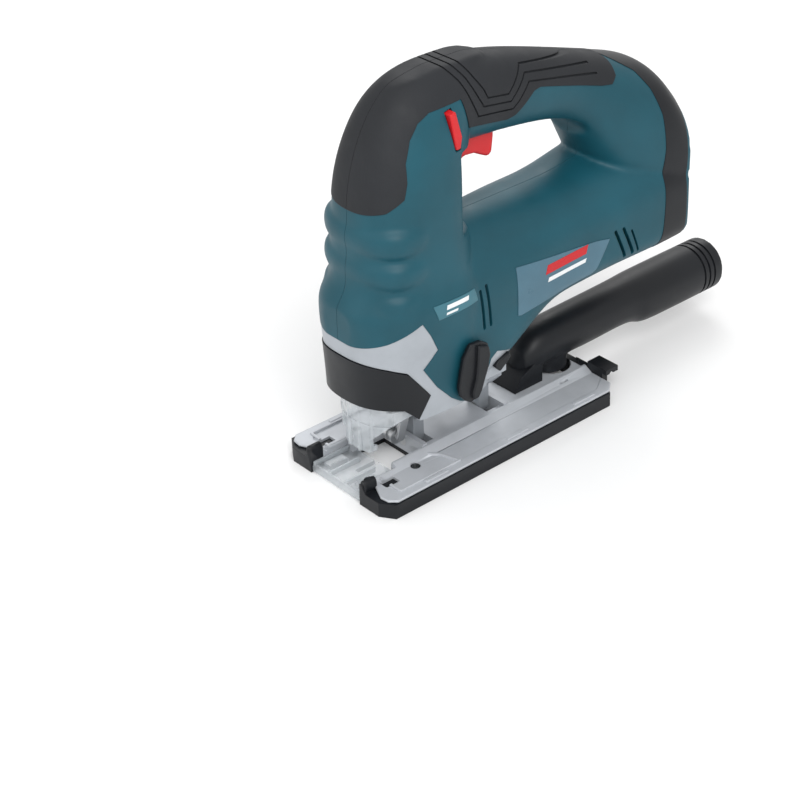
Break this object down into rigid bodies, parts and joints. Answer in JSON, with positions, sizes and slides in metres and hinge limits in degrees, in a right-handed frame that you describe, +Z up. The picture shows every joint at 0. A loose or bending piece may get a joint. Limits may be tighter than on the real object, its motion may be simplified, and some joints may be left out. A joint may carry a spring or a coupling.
{
  "type": "cordless jigsaw",
  "caption": "Cordless jigsaw with a closed handle, side orbit lever, wrap-round blade release, tilting sole with shoe and a straight dust spout.",
  "frame": {"origin": "where the blade axis meets the plane under the sole", "axes": "+X to the tool's rear, so it cuts towards -X; +Y to its right side; +Z up along the blade"},
  "size_m": [0.273, 0.082, 0.21],
  "materials": {
    "teal": "satin moulded",
    "rubber": "soft matte",
    "black": "fine grain",
    "label": "satin",
    "silver": "satin painted",
    "steel": "ground",
    "clear": "clear polycarbonate",
    "red": "satin",
    "copper": "bare",
    "board": "potted"
  },
  "bodies": {
    "housing": {"housing_left": "teal", "housing_right": "teal", "grip_left": "rubber", "grip_right": "rubber", "label_left": "label", "label_right": "label", "badge_left": "label", "badge_right": "label", "battery_dock": "black", "dock_rim": "teal", "terminal_block": "black", "terminals": "copper", "control_board": "board", "switch_module": "black", "stator_core": "steel", "stator_coils": "copper", "front_bearing": "steel", "rear_bearing": "steel", "gearcase": "silver", "lower_bush": "copper", "upper_bush": "copper", "gear_axle": "steel", "band_pins": "steel", "rocker_pin": "steel", "work_light": "clear", "housing_screws": "steel"},
    "rotor": {"rotor_shaft": "steel", "rotor_core": "steel", "fan": "black", "pinion": "steel"},
    "crank": {"crank_gear": "steel", "crank_pin": "steel", "counterweight": "steel"},
    "plunger": {"plunger_rod": "steel", "yoke": "steel", "blade_clamp": "steel"},
    "rocker": {"rocker_fork": "steel", "roller_pin": "steel"},
    "roller": {"guide_roller": "steel"},
    "orbit_lever": {"orbit_lever": "black", "orbit_shaft": "steel"},
    "release_band": {"release_band": "black"},
    "chip_guard": {"chip_guard": "clear"},
    "trigger": {"trigger": "red"},
    "lock_bar": {"lock_bar": "red"},
    "speed_dial": {"speed_dial": "red"},
    "blower_switch": {"blower_switch": "black"},
    "carrier": {"base_carrier": "silver", "clamp_screw": "steel"},
    "sole": {"base_plate": "silver", "sole_shoe": "black", "splinter_insert": "clear", "rear_cap": "black", "tilt_pins": "steel", "dust_spout": "black", "suction_duct": "black"}
  },
  "joints": [
    {"name": "rotor_spin", "type": "hinge", "parent": "housing", "child": "rotor", "pos_m": [0.1, 0, 0.102], "axis": [1, 0, 0], "continuous": true},
    {"name": "crank_spin", "type": "hinge", "parent": "housing", "child": "crank", "pos_m": [0.022, 0, 0.0804], "axis": [1, 0, 0], "continuous": true},
    {"name": "plunger_stroke", "type": "slide", "parent": "housing", "child": "plunger", "axis": [0, 0, 1], "range_m": [-0.013, 0.013]},
    {"name": "rocker_swing", "type": "hinge", "parent": "housing", "child": "rocker", "pos_m": [0.018, 0, 0.048], "axis": [0, 1, 0], "range_deg": [0, 3], "stiffness_Nm_per_rad": 0.5, "springref_deg": -2.86},
    {"name": "roller_spin", "type": "hinge", "parent": "rocker", "child": "roller", "pos_m": [0.0083, 0, 0.01515], "axis": [0, 1, 0], "continuous": true},
    {"name": "orbit_select", "type": "hinge", "parent": "housing", "child": "orbit_lever", "pos_m": [0.036, -0.02, 0.066], "axis": [0, 1, 0], "range_deg": [0, 60]},
    {"name": "blade_release", "type": "hinge", "parent": "housing", "child": "release_band", "pos_m": [0, 0, 0.077], "axis": [0, 1, 0], "range_deg": [0, 24], "stiffness_Nm_per_rad": 0.15, "springref_deg": -17.19},
    {"name": "guard_slide", "type": "slide", "parent": "housing", "child": "chip_guard", "axis": [-1, 0, 0], "range_m": [0, 0.05]},
    {"name": "trigger_pull", "type": "slide", "parent": "housing", "child": "trigger", "axis": [0, 0, 1], "range_m": [0, 0.006], "stiffness_N_per_m": 800, "springref_m": -0.002},
    {"name": "lock_push", "type": "slide", "parent": "housing", "child": "lock_bar", "axis": [0, 1, 0], "range_m": [0, 0.004]},
    {"name": "speed_set", "type": "hinge", "parent": "housing", "child": "speed_dial", "pos_m": [0.1775, 0, 0.161], "axis": [0, 1, 0], "range_deg": [0, 300]},
    {"name": "blower_slide", "type": "slide", "parent": "housing", "child": "blower_switch", "axis": [-1, 0, 0], "range_m": [0, 0.0015]},
    {"name": "base_shift", "type": "slide", "parent": "housing", "child": "carrier", "axis": [1, 0, 0], "range_m": [0, 0.01]},
    {"name": "bevel_tilt", "type": "hinge", "parent": "carrier", "child": "sole", "pos_m": [0.044, 0, 0.008], "axis": [1, 0, 0], "range_deg": [-45, 45]}
  ],
  "couplings": [
    {"joint": "crank_spin", "follows": "rotor_spin", "ratio": -0.17391}
  ]
}
